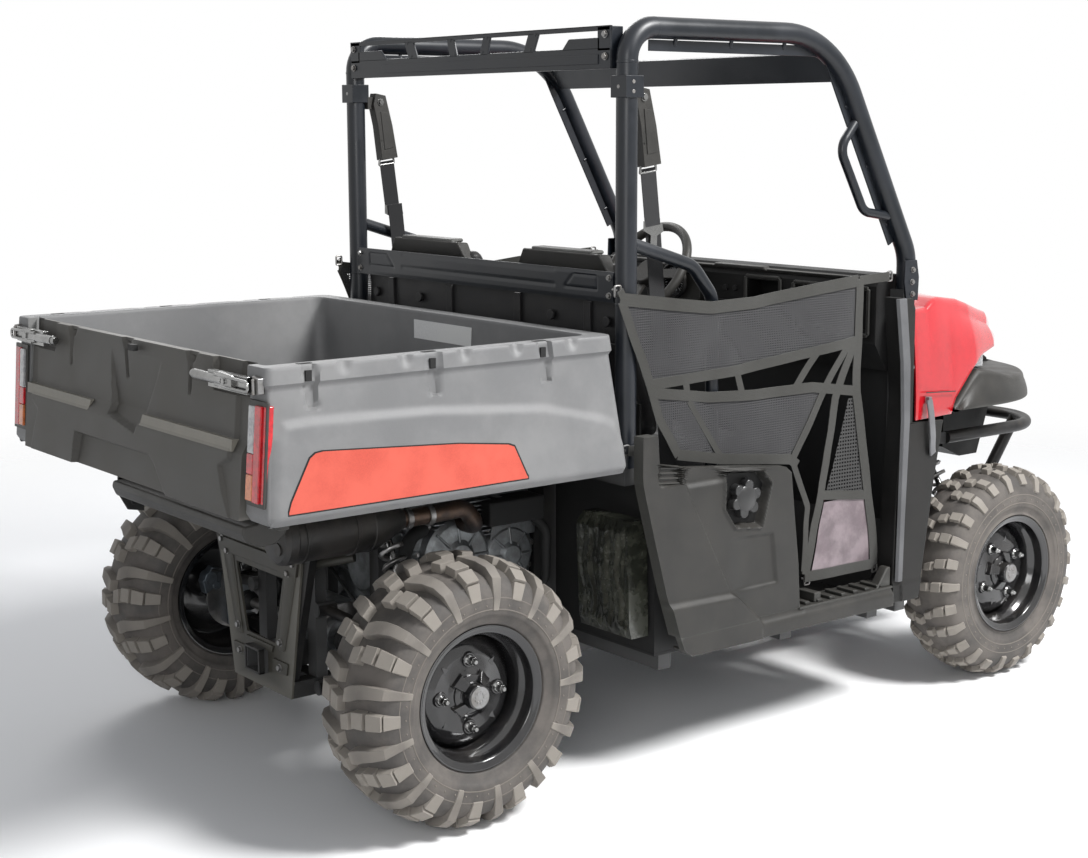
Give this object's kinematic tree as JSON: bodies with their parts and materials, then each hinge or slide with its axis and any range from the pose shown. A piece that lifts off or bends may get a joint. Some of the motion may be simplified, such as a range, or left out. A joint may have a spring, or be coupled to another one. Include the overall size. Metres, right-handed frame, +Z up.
{
  "type": "side by side utility vehicle",
  "caption": "Open two-seat utility vehicle with tube cab frame, side nets, tilting load bed with drop tailgate, red hood and four lugged tyres.",
  "frame": {"origin": "on the ground below the middle of the overall length, on the centre plane", "axes": "+X forward, +Y to the vehicle's left, +Z up"},
  "size_m": [2.794, 1.394, 1.809],
  "materials": {
    "frame_black": "satin black paint",
    "cab_tube": "satin blue-black powder coat",
    "body_plastic": "textured dark grey plastic",
    "bed_plastic": "textured mid grey plastic",
    "red_gloss": "gloss red",
    "seat_vinyl": "grained black vinyl",
    "rim_black": "gloss black paint",
    "tyre": "dusty rubber",
    "net_mesh": "polyester mesh and webbing",
    "lamp_red": "ribbed red lens",
    "lamp_clear": "clear lens",
    "alloy": "cast alloy",
    "steel": "zinc-plated steel",
    "exhaust_steel": "heat-stained black"
  },
  "bodies": {
    "chassis": {"lower_frame": "frame_black", "rear_rails": "frame_black", "front_rails": "frame_black", "floor_tubes": "frame_black", "rear_frame": "frame_black", "front_frame": "frame_black", "rear_frame_plate": "frame_black", "hitch_receiver": "frame_black", "front_bumper": "frame_black", "floor_pan": "body_plastic", "seat_base": "body_plastic", "seat_cushions": "seat_vinyl", "seat_backs": "seat_vinyl", "fuel_cap": "body_plastic", "front_cowls": "body_plastic", "dash": "body_plastic", "steering_column": "body_plastic", "rear_top_panel": "cab_tube", "front_header": "cab_tube", "seat_back_panel": "cab_tube", "side_bolsters": "cab_tube", "grab_handle": "cab_tube", "seat_belts": "net_mesh", "front_fenders": "body_plastic", "front_fascia": "body_plastic", "headlamps": "lamp_clear", "front_arms": "frame_black", "rear_arms": "frame_black", "shocks": "steel", "final_drives": "alloy", "drive_shafts": "steel", "engine_block": "alloy", "exhaust": "exhaust_steel", "rear_knuckles": "frame_black", "cab_frame_left": "cab_tube", "cab_frame_right": "cab_tube", "side_panel_left": "body_plastic", "side_panel_right": "body_plastic", "side_net_left": "net_mesh", "side_net_right": "net_mesh"},
    "bed": {"bed_box": "bed_plastic", "tail_lamps": "lamp_red"},
    "tailgate": {"tailgate": "bed_plastic"},
    "hood": {"hood": "red_gloss"},
    "steering_wheel": {"steering_wheel": "body_plastic"},
    "knuckle_left": {"knuckle_left": "frame_black"},
    "wheel_front_left": {"rim_front_left": "rim_black", "tyre_front_left": "tyre"},
    "wheel_rear_left": {"rim_rear_left": "rim_black", "tyre_rear_left": "tyre"},
    "knuckle_right": {"knuckle_right": "frame_black"},
    "wheel_front_right": {"rim_front_right": "rim_black", "tyre_front_right": "tyre"},
    "wheel_rear_right": {"rim_rear_right": "rim_black", "tyre_rear_right": "tyre"}
  },
  "joints": [
    {"name": "steer_left", "type": "hinge", "parent": "chassis", "child": "knuckle_left", "pos_m": [0.987, 0.53, 0.303], "axis": [0, 0, 1], "range_deg": [-30, 30]},
    {"name": "spin_front_left", "type": "hinge", "parent": "knuckle_left", "child": "wheel_front_left", "pos_m": [0.987, 0.597, 0.303], "axis": [0, 1, 0], "continuous": true},
    {"name": "spin_rear_left", "type": "hinge", "parent": "chassis", "child": "wheel_rear_left", "pos_m": [-0.867, 0.571, 0.31], "axis": [0, 1, 0], "continuous": true},
    {"name": "steer_right", "type": "hinge", "parent": "chassis", "child": "knuckle_right", "pos_m": [0.987, -0.53, 0.303], "axis": [0, 0, 1], "range_deg": [-30, 30]},
    {"name": "spin_front_right", "type": "hinge", "parent": "knuckle_right", "child": "wheel_front_right", "pos_m": [0.987, -0.597, 0.303], "axis": [0, 1, 0], "continuous": true},
    {"name": "spin_rear_right", "type": "hinge", "parent": "chassis", "child": "wheel_rear_right", "pos_m": [-0.867, -0.571, 0.31], "axis": [0, 1, 0], "continuous": true},
    {"name": "steering_wheel_turn", "type": "hinge", "parent": "chassis", "child": "steering_wheel", "pos_m": [0.443, 0.285, 1.13], "axis": [-0.8192, 0, 0.5736], "range_deg": [-330.5, 330.5]},
    {"name": "bed_tilt", "type": "hinge", "parent": "chassis", "child": "bed", "pos_m": [-1.227, 0, 0.72], "axis": [0, -1, 0], "range_deg": [0, 42]},
    {"name": "tailgate_drop", "type": "hinge", "parent": "bed", "child": "tailgate", "pos_m": [-1.37, 0, 0.784], "axis": [0, -1, 0], "range_deg": [0, 90]},
    {"name": "hood_tilt", "type": "hinge", "parent": "chassis", "child": "hood", "pos_m": [1.233, 0, 0.945], "axis": [0, 1, 0], "range_deg": [0, 60]}
  ],
  "couplings": [
    {"joint": "steer_right", "follows": "steer_left", "ratio": 1},
    {"joint": "steering_wheel_turn", "follows": "steer_left", "ratio": 11}
  ]
}
